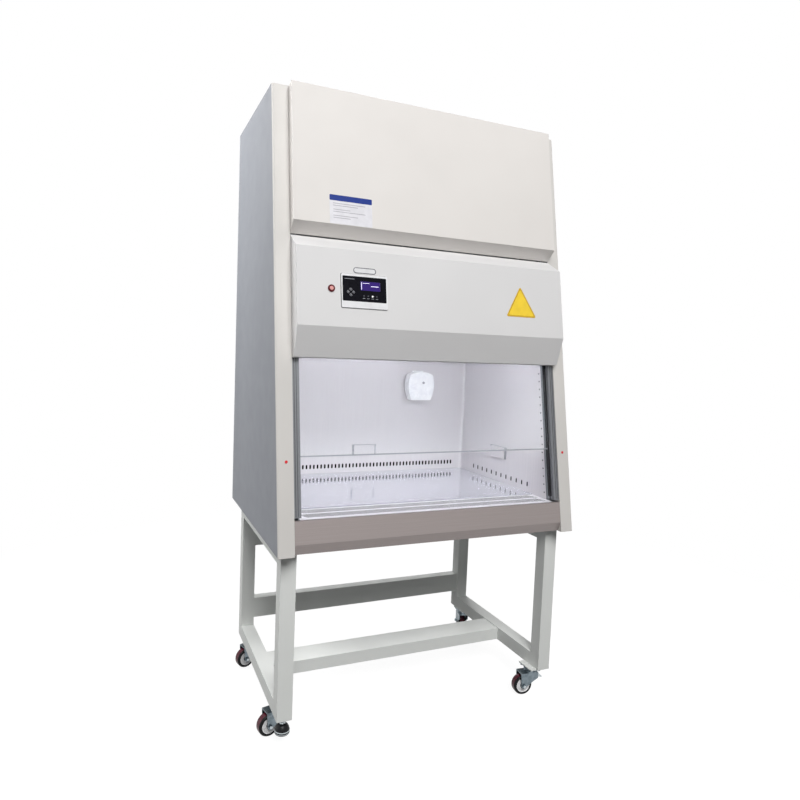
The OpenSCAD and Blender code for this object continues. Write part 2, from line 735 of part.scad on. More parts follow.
// Cover outline: narrow at the top, bulging at the sides
module cover_outline(inset) difference() {
    intersection() {
        translate([0, -6]) square([124 - 2 * inset, 128 - 2 * inset], center = true);
        translate([-70, 0]) circle(132 - inset, $fn = 96);
        translate([70, 0]) circle(132 - inset, $fn = 96);
        translate([0, -52]) circle(112 - inset, $fn = 96);
    }
    translate([-100, -200 - 64 + inset]) square(200);
}

// ---- Stand ----

leg_out = side_x - leg_inset;
leg_in = leg_out - leg;
leg_front = -341;
leg_back = 319;
top_rail_z = stand_h - leg;
foot_at = [leg_out - leg / 2, leg_front + leg / 2];
drain_at = [leg_out - 12, foot_at[1]];
drain_r = 4;
// Swivel axes: front left, front right, rear left, rear right
caster_at = [[-492, -216], [477, -293], [-480, 256], [500, 250]];
plate_half = [24, 38];
pad_t = 3;
foot_stem_r = 6;
end_plate = 5;

// Welded side frame: two legs and two rails of square tube, a pad for each caster plate,
// and a hole in the front leg's end
module side_frame(pads, hole_at, hole_r) color([0.80, 0.81, 0.80]) difference() {
    union() {
        slab([leg_in, leg_front, leg_z], [leg_out, leg_front + leg, stand_h]);
        slab([leg_in, leg_back - leg, leg_z], [leg_out, leg_back, stand_h]);
        slab([leg_in, leg_front, top_rail_z], [leg_out, leg_back, stand_h]);
        slab([leg_in, leg_front + leg, leg_z], [leg_out, leg_back - leg, leg_z + low_rail_h]);
        for (p = pads) slab([abs(p[0]) - plate_half[0] - 1, p[1] - plate_half[1] - 1, leg_z - pad_t],
            [abs(p[0]) + plate_half[0] + 1, p[1] + plate_half[1] + 1, leg_z]);
    }
    slab([leg_in + tube_wall, leg_front + tube_wall, leg_z + end_plate],
        [leg_out - tube_wall, leg_front + leg - tube_wall, stand_h - tube_wall]);
    slab([leg_in + tube_wall, leg_back - leg + tube_wall, leg_z + tube_wall],
        [leg_out - tube_wall, leg_back - tube_wall, stand_h - tube_wall]);
    slab([leg_in + tube_wall, leg_front + leg / 2, top_rail_z + tube_wall],
        [leg_out - tube_wall, leg_back - leg / 2, stand_h - tube_wall]);
    slab([leg_in + tube_wall, leg_front + leg / 2, leg_z + end_plate],
        [leg_out - tube_wall, leg_back - leg / 2, leg_z + low_rail_h - tube_wall]);
    translate([hole_at[0], hole_at[1], 0]) cylinder(r = hole_r, h = leg_z + 20);
}
// The left leg carries the levelling foot, the right one drains
module side_frame_right() side_frame([caster_at[1], caster_at[3]], drain_at, drain_r);
module side_frame_left() to_left() side_frame([caster_at[0], caster_at[2]], foot_at, foot_stem_r + running);

rear_rail_z = [184, 484];
rear_rail_d = 40;

// Two rectangular tubes between the rear legs
module rear_rails() color([0.80, 0.81, 0.80]) for (z = rear_rail_z) difference() {
    slab([-leg_in, leg_back - rear_rail_d, z], [leg_in, leg_back, z + rear_rail_h]);
    slab([-leg_in - 1, leg_back - rear_rail_d + tube_wall, z + tube_wall],
        [leg_in + 1, leg_back - tube_wall, z + rear_rail_h - tube_wall]);
}

stretcher_y = -68;
module stretcher() color([0.80, 0.81, 0.80]) difference() {
    slab([-leg_in, stretcher_y, leg_z], [leg_in, stretcher_y + stretcher_d, leg_z + low_rail_h - 4]);
    slab([-leg_in - 1, stretcher_y + tube_wall, leg_z + tube_wall],
        [leg_in + 1, stretcher_y + stretcher_d - tube_wall, leg_z + low_rail_h - 4 - tube_wall]);
}

// ---- Casters ----

// Trailing directions of the casters at rest, in degrees
caster_turn = [193, 173, 197, 72];
plate_t = 3;
plate_bolt = [17, 30];
bolt_r = 6;
bolt_head = 5;
race_r = 25;
race_z = 94;
plate_z = leg_z - pad_t - plate_t;
crown_z = 86;
kingpin_r = 5;

// Fixed part of a caster: bolted plate, upper race and kingpin
module caster_plate() {
    translate([-plate_half[0], -plate_half[1], plate_z]) cube([2 * plate_half[0], 2 * plate_half[1], plate_t]);
    for (x = [-1, 1], y = [-1, 1]) translate([x * plate_bolt[0], y * plate_bolt[1], plate_z - bolt_head])
        cylinder(r = bolt_r, h = bolt_head + 1, $fn = 6);
    translate([0, 0, race_z + gap]) rotate_extrude() polygon([[0, 0], [race_r - 5, 0], [race_r, 3],
        [race_r, 5], [race_r - 3, plate_z - race_z], [0, plate_z - race_z]]);
    translate([0, 0, crown_z - bolt_r]) cylinder(r = kingpin_r, h = plate_z - crown_z + bolt_r);
}

fork_half = 21;
fork_arm = 3;
crown_front = 24;
crown_back = trail + 13;
axle_z = wheel_r;
wheel_axle_r = 4;
axle_boss_r = 10;
nut_r = 7;
nut_t = 5;

// Swivel fork, wheel trailing along +X of its own frame
module fork() {
    difference() {
        union() {
            slab([-crown_front, -fork_half, crown_z - fork_arm], [crown_back, fork_half, crown_z]);
            translate([0, 0, crown_z]) rotate_extrude() polygon([[0, 0], [race_r, 0], [race_r, 4],
                [race_r - 4, race_z - crown_z], [0, race_z - crown_z]]);
            for (y = [-fork_half, fork_half - fork_arm]) fork_arm_plate(y);
        }
        cylinder(r = kingpin_r + running, h = leg_z);
    }
    translate([trail, 0, axle_z]) rotate([90, 0, 0]) {
        cylinder(r = wheel_axle_r, h = 2 * (fork_half + nut_t), center = true);
        for (side = [-1, 1]) translate([0, 0, side * (fork_half + nut_t / 2)])
            cylinder(r = nut_r, h = nut_t, center = true, $fn = 6);
    }
}
// Side arm of the fork: wide at the crown, narrow at the axle
module fork_arm_plate(y) translate([0, y + fork_arm, 0]) rotate([90, 0, 0]) linear_extrude(fork_arm) {
    polygon([[-crown_front, crown_z], [-crown_front, crown_z - 22], [-6, crown_z - 32],
        [trail - 9, axle_z - 6], [trail + 9, axle_z - 3], [crown_back, crown_z - 14], [crown_back, crown_z]]);
    translate([trail, axle_z]) circle(axle_boss_r);
}

hub_r = 9;
dish_r = 22;
dish_depth = 4;
hub_proud = 2;

// Wheel with a crowned tread, a dished side and a raised hub
module wheel() translate([trail, 0, axle_z]) rotate([90, 0, 0]) rotate_extrude() {
    half = wheel_w / 2;
    r = wheel_r;
    polygon([[wheel_axle_r + running, -half - hub_proud], [hub_r, -half - hub_proud],
        [hub_r + 1, -half + dish_depth - 1], [dish_r - 2, -half + dish_depth], [dish_r, -half],
        [r - 6, -half], [r - 1.2, -half + 5], [r, 0], [r - 1.2, half - 5], [r - 6, half],
        [dish_r, half], [dish_r - 2, half - dish_depth], [hub_r + 1, half - dish_depth + 1],
        [hub_r, half + hub_proud], [wheel_axle_r + running, half + hub_proud]]);
}

pedal_axis = [-19, 70];
pedal_pin_r = 2;
pedal_size = [24, 28, 4];
pedal_slant = -12;

// Places what follows across the fork on the pedal's axis
module on_pedal_axis() translate([pedal_axis[0], 0, pedal_axis[1]]) rotate([90, 0, 0]) children();

// Brake pedal hinged between the fork's arms
module pedal() difference() {
    union() {
        on_pedal_axis() cylinder(r = 4.5, h = 2 * (fork_half - fork_arm) - 1, center = true);
        translate([pedal_axis[0] - pedal_size[0], -pedal_size[1] / 2, pedal_axis[1] - 8])
            rotate([0, pedal_slant, 0]) cube(pedal_size);
    }
    on_pedal_axis() cylinder(r = pedal_pin_r + running, h = 2 * fork_half, center = true);
}
module pedal_pin() on_pedal_axis() cylinder(r = pedal_pin_r, h = 2 * fork_half - 1, center = true);

// Places what follows on a caster's swivel axis, turned to its trailing direction
module at_caster(i) translate([caster_at[i][0], caster_at[i][1], 0]) rotate(caster_turn[i]) children();

steel = [0.62, 0.66, 0.68];
module caster_plates() color(steel) for (place = caster_at) translate([place[0], place[1], 0]) caster_plate();
module fork_front_left() color(steel) at_caster(0) { fork(); pedal_pin(); }
module fork_front_right() color(steel) at_caster(1) { fork(); pedal_pin(); }
module fork_rear_left() color(steel) at_caster(2) fork();
module fork_rear_right() color(steel) at_caster(3) fork();
tyre = [0.25, 0.08, 0.10];
module wheel_front_left() color(tyre) at_caster(0) wheel();
module wheel_front_right() color(tyre) at_caster(1) wheel();
module wheel_rear_left() color(tyre) at_caster(2) wheel();
module wheel_rear_right() color(tyre) at_caster(3) wheel();
pedal_grey = [0.8, 0.82, 0.82];
module pedal_left() color(pedal_grey) at_caster(0) pedal();
module pedal_right() color(pedal_grey) at_caster(1) pedal();

// ---- Levelling foot ----

foot_stem_len = 150;

// Screw-down foot of the left leg: banded rubber base, dome and stem
module foot_left() color([0.12, 0.13, 0.14]) to_left() translate([foot_at[0], foot_at[1], foot_lift]) {
    rotate_extrude() polygon([[0, 0], [foot_r - 2, 0], [foot_r, 2], [foot_r, 6], [foot_r - 1.2, 7],
        [foot_r, 8], [foot_r, 14], [foot_r - 2.5, 20], [foot_r - 6.5, 27], [14, 31], [9, 33], [0, 33]]);
    cylinder(r = foot_stem_r, h = foot_stem_len);
}

side_panel_left();
side_panel_right();
column_left();
column_right();
rear_panel();
top_panel();
base_panel();
service_door();
hinge_pins();
fascia();
control_panel();
key_up();
key_down();
key_left();
key_right();
power_bezel();
power_button();
sash_glass();
sash_strip();
guide_rails();
balance_shaft();
counterweight();
chamber_back();
chamber_side_left();
chamber_side_right();
work_deck();
front_grille();
drain_pan();
apron();
diffuser();
supply_filter();
exhaust_filter();
plenum();
blower_housing();
impeller();
motor();
lamp();
uv_lamp();
socket_plates();
flip_cover_back();
flip_cover_side();
outlet_box();
outlet_cover();
side_frame_left();
side_frame_right();
rear_rails();
stretcher();
caster_plates();
fork_front_left();
fork_front_right();
fork_rear_left();
fork_rear_right();
wheel_front_left();
wheel_front_right();
wheel_rear_left();
wheel_rear_right();
pedal_left();
pedal_right();
foot_left();
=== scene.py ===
import json
import math

import bpy
from mathutils import Matrix, Vector


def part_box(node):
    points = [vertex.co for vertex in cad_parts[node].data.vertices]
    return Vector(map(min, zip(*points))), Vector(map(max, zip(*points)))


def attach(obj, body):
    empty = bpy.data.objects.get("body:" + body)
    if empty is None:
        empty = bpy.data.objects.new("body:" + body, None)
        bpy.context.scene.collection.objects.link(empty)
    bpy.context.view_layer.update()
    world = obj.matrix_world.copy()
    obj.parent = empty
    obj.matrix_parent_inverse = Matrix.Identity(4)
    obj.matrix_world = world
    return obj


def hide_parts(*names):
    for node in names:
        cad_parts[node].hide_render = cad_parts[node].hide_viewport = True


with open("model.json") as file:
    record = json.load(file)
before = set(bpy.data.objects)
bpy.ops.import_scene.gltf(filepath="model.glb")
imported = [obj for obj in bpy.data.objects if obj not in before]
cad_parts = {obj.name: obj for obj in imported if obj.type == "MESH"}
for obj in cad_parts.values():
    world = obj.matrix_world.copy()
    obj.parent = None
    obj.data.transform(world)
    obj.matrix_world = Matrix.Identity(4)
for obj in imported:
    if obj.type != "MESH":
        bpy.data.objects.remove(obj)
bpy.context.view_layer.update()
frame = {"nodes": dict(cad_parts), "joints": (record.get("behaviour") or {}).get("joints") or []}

# ---- Camera, floor and light ----
# A camera at head height before the cabinet's left front, a pale floor, and soft studio lamps:
# a large one high at the left front, one overhead, one behind, one high and one low at the left.
frame_px = 800
focal_px = 615.365
centre_px = Vector((375.07, 394.71))
sensor_mm = 36
camera_at = Vector((-0.99503, -2.16245, 1.27987))
yaw, pitch, roll = (math.radians(angle) for angle in (22.740, -3.852, 2.127))


def aimed(yaw, pitch, roll):
    """Turn of a camera that looks along +Y, then turns right, up and clockwise by three angles."""
    right = Vector((math.cos(yaw), -math.sin(yaw), 0))
    ahead = Vector((math.sin(yaw) * math.cos(pitch), math.cos(yaw) * math.cos(pitch), math.sin(pitch)))
    up = right.cross(ahead)
    across = right * math.cos(roll) + up * math.sin(roll)
    upright = up * math.cos(roll) - right * math.sin(roll)
    return Matrix((across, upright, -ahead)).transposed()


bpy.ops.object.camera_add(location=camera_at, rotation=aimed(yaw, pitch, roll).to_euler())
camera = bpy.context.object
camera.data.sensor_width = sensor_mm
camera.data.lens = sensor_mm * focal_px / frame_px
camera.data.shift_x = 0.5 - centre_px.x / frame_px
camera.data.shift_y = centre_px.y / frame_px - 0.5
camera.data.clip_end = 100
bpy.context.scene.camera = camera
bpy.context.scene.view_settings.view_transform = "Standard"


def add(tree, kind, sockets=(), **settings):
    """Adds a shader node with its settings; a socket's value is set, or linked if it is a socket."""
    made = tree.nodes.new("ShaderNode" + kind)
    for name, value in settings.items():
        setattr(made, name, value)
    for name, value in dict(sockets).items():
        if isinstance(value, bpy.types.NodeSocket):
            tree.links.new(value, made.inputs[name])
        else:
            made.inputs[name].default_value = value
    return made


def linear(code):
    """Linear colour of an sRGB hex code."""
    parts = [int(code[i:i + 2], 16) / 255 for i in (1, 3, 5)]
    return [p / 12.92 if p <= 0.04045 else ((p + 0.055) / 1.055) ** 2.4 for p in parts] + [1.0]


def seen_directly(tree):
    """1 for rays from the camera, or by way of a mirror or glass, and 0 for light on the object."""
    path = add(tree, "LightPath")
    both = add(tree, "Math", {0: path.outputs["Is Camera Ray"], 1: path.outputs["Is Glossy Ray"]},
               operation="MAXIMUM")
    return add(tree, "Math", {0: both.outputs[0], 1: path.outputs["Is Transmission Ray"]},
               operation="MAXIMUM").outputs[0]


def soft_lamp(name, place, aim, size, power):
    """A square studio lamp that faces a point."""
    turn = (aim - place).to_track_quat("-Z", "Y").to_euler()
    bpy.ops.object.light_add(type="AREA", location=place, rotation=turn)
    lamp = bpy.context.object
    lamp.name = name
    lamp.data.size = size
    lamp.data.energy = power


soft_lamp("lamp_key", Vector((-0.7, -4.6, 5.1)), Vector((0, 0, 0.6)), 3.0, 340)
soft_lamp("lamp_top", Vector((-0.3, 0.8, 4.3)), Vector((0, 0.3, 1.1)), 1.8, 8)
soft_lamp("lamp_left", Vector((-1.8, 0.6, 2.5)), Vector((-0.55, 0.2, 1.6)), 0.8, 26)
soft_lamp("lamp_rear", Vector((1.6, 4.6, 2.6)), Vector((0, 0, 1.1)), 2.2, 110)
soft_lamp("lamp_low", Vector((-3.2, 0.6, 0.5)), Vector((0, 0, 0.4)), 2.0, 17)

# The world is dim as light but white to look at, and the floor fades into it with distance.
ambient, white = 0.09, 1.0
studio = bpy.data.worlds.new("studio")
studio.use_nodes = True
bpy.context.scene.world = studio
tree = studio.node_tree
tree.nodes.clear()
strength = add(tree, "MapRange", {"Value": seen_directly(tree), "To Min": ambient, "To Max": white})
sky = add(tree, "Background", {"Color": (1, 1, 1, 1), "Strength": strength.outputs[0]})
add(tree, "OutputWorld", {"Surface": sky.outputs[0]})

floor_size, floor_drop = 60, 0.0005
floor_grey, floor_glow = 0.15, 0.93
fade_from, fade_to = 1.2, 2.6
bpy.ops.mesh.primitive_plane_add(size=floor_size, location=(0, 0, -floor_drop))
floor = bpy.context.object
floor.name = "floor"
studio_floor = bpy.data.materials.new("StudioFloor")
studio_floor.use_nodes = True
tree = studio_floor.node_tree
tree.nodes.clear()
matt = add(tree, "BsdfDiffuse", {"Color": (floor_grey, floor_grey, floor_grey, 1)})
lift = add(tree, "Emission", {"Color": (1, 1, 1, 1), "Strength": floor_glow})
near = add(tree, "AddShader", {0: matt.outputs[0], 1: lift.outputs[0]})
paper = add(tree, "Emission", {"Color": (1, 1, 1, 1), "Strength": white})
reach = add(tree, "VectorMath", {0: add(tree, "TexCoord").outputs["Object"]}, operation="LENGTH")
fade = add(tree, "MapRange", {"Value": reach.outputs["Value"], "From Min": fade_from, "From Max": fade_to})
seen = add(tree, "MixShader", {0: fade.outputs[0], 1: near.outputs[0], 2: paper.outputs[0]})
split = add(tree, "MixShader", {0: seen_directly(tree), 1: matt.outputs[0], 2: seen.outputs[0]})
add(tree, "OutputMaterial", {"Surface": split.outputs[0]})
floor.data.materials.append(studio_floor)

# ---- Stand ----
# Welded square steel tube: two side frames, two rear rails and a flat stretcher.
# Baked powder coat, pale grey, with the fine orange peel that such paint dries to.
mm = 0.001  # a millimetre, in metres


def new_finish(name):
    """An empty material with its node tree and its Object coordinates in millimetres."""
    made = bpy.data.materials.new(name)
    made.use_nodes = True
    tree = made.node_tree
    tree.nodes.clear()
    place = add(tree, "TexCoord").outputs["Object"]
    return made, tree, add(tree, "VectorMath", {0: place, "Scale": 1 / mm}, operation="SCALE").outputs[0]


def noise(tree, place, size_mm, detail=2.0, rough=0.5):
    """Soft cloudy noise with clouds of that size."""
    return add(tree, "TexNoise", {"Vector": place, "Scale": 1 / size_mm, "Detail": detail,
                                  "Roughness": rough}).outputs["Fac"]


def between(tree, factor, low, high):
    """A number that runs from low to high as the noise goes from its dark to its bright parts."""
    return add(tree, "MapRange", {"Value": factor, "From Min": 0.3, "From Max": 0.7,
                                  "To Min": low, "To Max": high}).outputs[0]


def blend(tree, factor, first, second):
    """A colour between two, by a factor."""
    return add(tree, "Mix", {0: factor, 6: first, 7: second}, data_type="RGBA").outputs[2]


def bump(tree, height, depth_mm):
    """A normal bent by a height of that depth."""
    return add(tree, "Bump", {"Height": height, "Distance": depth_mm * mm}).outputs[0]


def surface(tree, **sockets):
    """A Principled surface on the output. A socket's name is written with _ for its spaces."""
    shader = add(tree, "BsdfPrincipled", {key.replace("_", " "): value for key, value in sockets.items()})
    add(tree, "OutputMaterial", {"Surface": shader.outputs[0]})


def powder_coat(name, light, dark, gloss=0.64, cloud_mm=300, patch_mm=60, peel_mm=5):
    """Baked powder paint: an even tone with a faint drift, and orange peel, drawn 5 mm wide to show."""
    made, tree, place = new_finish(name)
    tone = blend(tree, between(tree, noise(tree, place, cloud_mm), 0, 1), linear(light), linear(dark))
    sheen = between(tree, noise(tree, place, patch_mm), gloss - 0.05, gloss + 0.05)
    peel = noise(tree, place, peel_mm, detail=1)
    surface(tree, Base_Color=tone, Roughness=sheen, Normal=bump(tree, peel, 0.03))
    return made


def coat(material, *nodes):
    """Gives CAD nodes a finish."""
    for name in nodes:
        node = frame["nodes"][name]
        node.data.materials.clear()
        node.data.materials.append(material)


coat(powder_coat("PowderCoatStand", "#eceeeb", "#e7e9e6"),
     "side_frame_left", "side_frame_right", "rear_rails", "stretcher")

# ---- Casters ----
# Pressed forks, plates and brake pedals, zinc plated, and moulded wheels: a maroon polyurethane
# tread between black shoulders, on a white nylon hub with a dark cap over the axle.


def zinc_plate(name, light, dark, gloss=0.34, blotch_mm=14, grain_mm=2.5):
    """Passivated zinc on pressed steel: a cool grey with soft blotches."""
    made, tree, place = new_finish(name)
    blotch = noise(tree, place, blotch_mm, detail=4, rough=0.6)
    surface(tree, Base_Color=blend(tree, between(tree, blotch, 0, 1), linear(light), linear(dark)),
            Metallic=1.0, Roughness=between(tree, blotch, gloss - 0.07, gloss + 0.09),
            Normal=bump(tree, noise(tree, place, grain_mm), 0.02))
    return made


zinc = zinc_plate("ZincPlatedSteel", "#848e94", "#646f76")
corners = ("front_left", "front_right", "rear_left", "rear_right")
coat(zinc, "caster_plates", "hinge_pins", "balance_shaft", *("fork_" + corner for corner in corners))
bright_zinc = zinc_plate("BrightZincPlate", "#c9cfd1", "#aab2b6", 0.28)
coat(bright_zinc, "pedal_left", "pedal_right")


def moulded(name, colour, gloss=0.45, grain_mm=1.2, grain_depth_mm=0.02, **more):
    """Injection moulded plastic or rubber: one tone with a fine spark-eroded grain."""
    made, tree, place = new_finish(name)
    base = linear(colour)
    paler = [min(1, part * 1.12) for part in base[:3]] + [1.0]
    surface(tree, Base_Color=blend(tree, between(tree, noise(tree, place, 25), 0, 1), base, paler),
            Roughness=between(tree, noise(tree, place, 12), gloss - 0.05, gloss + 0.05),
            Normal=bump(tree, noise(tree, place, grain_mm), grain_depth_mm), **more)
    return made


# The rubbers are dull and nearly black, and the tread and the hub keep a soft shine.
tread = moulded("PolyurethaneTread", "#4d0e20", 0.25, Specular_IOR_Level=0.3)
shoulder = moulded("RubberShoulder", "#0f0f11", 0.38, Specular_IOR_Level=0.15)
hub = moulded("NylonHub", "#ececed", 0.38)
cap = moulded("DarkCap", "#343b40", 0.4)


def named(name):
    """The object just made, named, with its size and place in its mesh."""
    obj = bpy.context.object
    obj.name = obj.data.name = name
    bpy.ops.object.transform_apply(location=True, rotation=True, scale=True)
    return obj


def turned(name, rings, sides=32):
    """A turned piece along Z: rings of (radius, height) in millimetres, each extruded from the last."""
    bpy.ops.object.select_all(action="DESELECT")
    (radius, height), *rest = rings
    bpy.ops.mesh.primitive_circle_add(vertices=sides, radius=radius, fill_type="NGON",
                                      location=(0, 0, height))
    obj = named(name)
    bpy.ops.object.mode_set(mode="EDIT")
    bpy.ops.mesh.select_all(action="SELECT")
    for next_radius, next_height in rest:
        bpy.ops.mesh.extrude_region_move(TRANSFORM_OT_translate={"value": (0, 0, next_height - height)})
        grow = next_radius / radius
        bpy.ops.transform.resize(value=(grow, grow, 1), center_override=(0, 0, next_height))
        radius, height = next_radius, next_height
    bpy.ops.mesh.select_all(action="SELECT")
    bpy.ops.mesh.normals_make_consistent(inside=False)
    shaped()
    return obj


def shaped():
    """Leaves edit mode once a piece is shaped."""
    bpy.ops.object.mode_set(mode="OBJECT")


def mirrored(profile):
    """A turned profile with its other half, upside down, added."""
    return profile + [(radius, -height) for radius, height in reversed(profile)]


def off_axis(point):
    """How far a point lies from the Z axis."""
    return math.hypot(point.x, point.y)


def paint(obj, *finishes):
    """Gives a piece its finishes: the first all over, then each on the faces that pass its test."""
    for material in [finishes[0], *(finish[0] for finish in finishes[1:])]:
        obj.data.materials.append(material)
    for number, (_, test) in enumerate(finishes[1:], 1):
        for face in obj.data.polygons:
            if test(face.center, face.normal):
                face.material_index = number


def twin(obj, name):
    """A copy of a piece, with a mesh of its own."""
    made = obj.copy()
    made.data = obj.data.copy()
    made.name = made.data.name = name
    bpy.context.collection.objects.link(made)
    return made


def joined(name, pieces):
    """Several pieces made one."""
    bpy.ops.object.select_all(action="DESELECT")
    for obj in pieces:
        obj.select_set(True)
    bpy.context.view_layer.objects.active = pieces[0]
    if len(pieces) > 1:
        bpy.ops.object.join()
    pieces[0].name = pieces[0].data.name = name
    return pieces[0]


def settle(obj, body, place=Matrix.Identity(4), smooth=30):
    """Puts a piece made in millimetres in its place, on its body, shaded smooth up to an angle."""
    bpy.ops.object.select_all(action="DESELECT")
    obj.select_set(True)
    bpy.context.view_layer.objects.active = obj
    bpy.ops.object.shade_smooth_by_angle(angle=math.radians(smooth))
    obj.data.transform(place @ Matrix.Scale(mm, 4))
    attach(obj, body)


joints = {joint["name"]: joint for joint in frame["joints"]}


def on_axis(centre, axis):
    """The place of a piece turned along Z that sits at a point, along an axis."""
    return Matrix.Translation(centre) @ Vector(axis).to_track_quat("Z", "Y").to_matrix().to_4x4()


hub_r, cap_r, tread_r, tread_in, tread_half = 27, 12, 37.5, 30, 9.6
wheel = turned("wheel", mirrored([
    (7, -17), (9.5, -17), (10.5, -16), (11.5, -12.5), (hub_r - 2, -11.5), (hub_r, -13.6),
    (hub_r + 2, -14.4), (30.6, -14.6), (32, -13.8), (33.8, -14.2), (35.4, -13), (36.6, -10.6),
    (36.6, -tread_half - 0.4), (37.2, -tread_half), (tread_r, -4)]), sides=48)
axle_end = [(5.6, 26), (5.6, 27), (4.4, 29), (2, 30)]
for corner in corners:
    rolling = joints["roll_" + corner]
    place = on_axis(Vector(rolling["pos_m"]), rolling["axis"])
    rim = twin(wheel, "caster_wheel_" + corner)
    paint(rim, shoulder,
          (tread, lambda c, n: off_axis(c) > tread_in and abs(c.z) < tread_half),
          (hub, lambda c, n: off_axis(c) < hub_r),
          (cap, lambda c, n: off_axis(c) < cap_r))
    settle(rim, "wheel_" + corner, place)
    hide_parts("wheel_" + corner)
    ends = [turned("axle_end", axle_end, sides=20) for _ in range(2)]
    ends[1].data.transform(Matrix.Rotation(math.pi, 4, "X"))
    bolt = joined("axle_bolt_" + corner, ends)
    paint(bolt, bright_zinc)
    settle(bolt, "caster_" + corner, place)
bpy.data.objects.remove(wheel)

# ---- Levelling foot ----
# A moulded black rubber foot with two plated bands, a zinc plated collar, stem and lock nut, screwed
# up into the left leg. The M12 thread is drawn at a 3 mm pitch, as the real 1.75 mm is too fine to show.


def pick(obj, test):
    """Edit mode, with only the faces selected whose middle and normal pass a test."""
    chosen = [test(face.center, face.normal) for face in obj.data.polygons]
    bpy.ops.object.mode_set(mode="EDIT")
    bpy.ops.mesh.select_mode(type="FACE")
    bpy.ops.mesh.select_all(action="DESELECT")
    bpy.ops.object.mode_set(mode="OBJECT")
    obj.data.polygons.foreach_set("select", chosen)
    bpy.ops.object.mode_set(mode="EDIT")


black_rubber = moulded("RubberFoot", "#0f1012", 0.38, Specular_IOR_Level=0.2)
foot_r, band_in = 24.5, 22
bands = ((3.5, 5.5), (9.5, 13.5))
thread_pitch, thread_depth, thread_top = 3.0, 0.8, 84
stem_r, stem_top, collar_r, collar_top = 6.0, 150, 10.5, 39.5
nut_bore, nut_r, nut_low, nut_high = 6.4, 11.5, 100.4, 107.6
low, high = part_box("foot_left")
centre = Vector(((low.x + high.x) / 2, (low.y + high.y) / 2, low.z))
pad = turned("pad", [
    (22.5, 0), (foot_r - 0.3, 2), (foot_r - 0.3, 3.4), (foot_r, 3.8), (foot_r, 5.4), (foot_r - 0.8, 5.8),
    (foot_r - 0.8, 9.2), (foot_r, 9.8), (foot_r, 13.2), (foot_r - 1.2, 13.8), (22.5, 20), (18.5, 27),
    (14, 31), (11, 32.6)], sides=48)
paint(pad, black_rubber,
      (bright_zinc, lambda c, n: off_axis(c) > band_in and any(low < c.z < high for low, high in bands)))
collar = turned("collar", [(collar_r, 32), (collar_r, collar_top - 1), (collar_r - 1.3, collar_top)],
                sides=6)
root_r = stem_r - thread_depth
ridges = [(root_r if turn % 2 else stem_r, collar_top - 0.5 + turn * thread_pitch / 2)
          for turn in range(int((thread_top - collar_top) / thread_pitch * 2))]
stem = turned("stem", ridges + [(root_r, thread_top), (root_r, stem_top)], sides=20)
for metal in (collar, stem):
    paint(metal, bright_zinc)
foot = joined("levelling_foot", [pad, collar, stem])
settle(foot, "foot_left", Matrix.Translation(centre))
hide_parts("foot_left")
nut = turned("lock_nut", [(nut_bore, nut_low), (nut_r - 1, nut_low), (nut_r, nut_low + 0.8),
                          (nut_r, nut_high - 0.8), (nut_r - 1, nut_high), (nut_bore, nut_high)], sides=6)
pick(nut, lambda c, n: abs(n.z) > 0.9 and off_axis(c) < 1)
bpy.ops.mesh.bridge_edge_loops()
shaped()
paint(nut, bright_zinc)
settle(nut, "cabinet", Matrix.Translation((centre.x, centre.y, 0)))

# ---- Cabinet shell ----
# Folded steel sheet in baked powder paint: sides and back in pale grey paint drawn darker as painted
# shade, warm white front and top, held by pan-head screws with a hex socket. A red cap closes the service
# hole in each front column.
# The grey of the sides, back and base is darker than their paint: partly painted shade.
coat(powder_coat("PowderCoatShadedGrey", "#90939a", "#8b8e95"),
     "side_panel_left", "side_panel_right", "rear_panel", "base_panel")
coat(powder_coat("PowderCoatWhite", "#d9d6d2", "#d4d1cd"), "column_left", "column_right", "top_panel")

# The front leans back: X runs across it, Y goes in from the columns' face and Z up the slope.
up_slope = Vector(joints["sash_slide"]["axis"])
lean = Matrix.Rotation(-math.atan2(up_slope.y, up_slope.z), 4, "X")
column_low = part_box("column_left")[0]
slope = Matrix.Translation((0, column_low.y, column_low.z)) @ lean
outward, backward = Matrix.Rotation(math.pi / 2, 4, "X"), Matrix.Rotation(-math.pi / 2, 4, "X")
upward = Matrix.Identity(4)


def moved(obj, at, turn=outward):
    """Turns a piece made along Z to face out of the front, and puts it at a point in millimetres."""
    obj.data.transform(Matrix.Translation(at) @ turn)
    return obj


def rod(name, radius, low, high, sides=32):
    """A straight round bar along Z, or a prism where it has few sides."""
    return turned(name, [(radius, low), (radius, high)], sides)


def cut(obj, *tools):
    """Cuts other pieces out of a piece, and takes them away."""
    for tool in tools:
        bpy.context.view_layer.objects.active = obj
        bpy.ops.object.modifier_add(type="BOOLEAN")
        carve = obj.modifiers[-1]
        carve.operation, carve.object = "DIFFERENCE", tool
        bpy.ops.object.modifier_apply(modifier=carve.name)
        bpy.data.objects.remove(tool)
    return obj


screw_head = [(4.2, -0.4), (4.2, 0.7), (3.5, 1.7), (2.2, 2.2)]


def screws(name, spots, turn):
    """Pan-head screws with a hex socket, one at each point."""
    heads = []
    for at in spots:
        head = cut(turned("head", screw_head, sides=20), rod("socket", 1.5, 0.9, 3, sides=6))
        heads.append(moved(head, at, turn))
    made = joined(name, heads)
    paint(made, zinc)
    settle(made, "cabinet")


rear_y, top_z = 398, 2130
down_sides = [(x, rear_y, z) for x in (-515, 515) for z in range(700, 2101, 175)]
along_ends = [(x, rear_y, z) for x in (-310, -105, 105, 310) for z in (680, 2105)]
screws("rear_screws", down_sides + along_ends, backward)
screws("top_screws", [(x, y, top_z) for x in (-528, 528) for y in (-125, 120, 365)], upward)

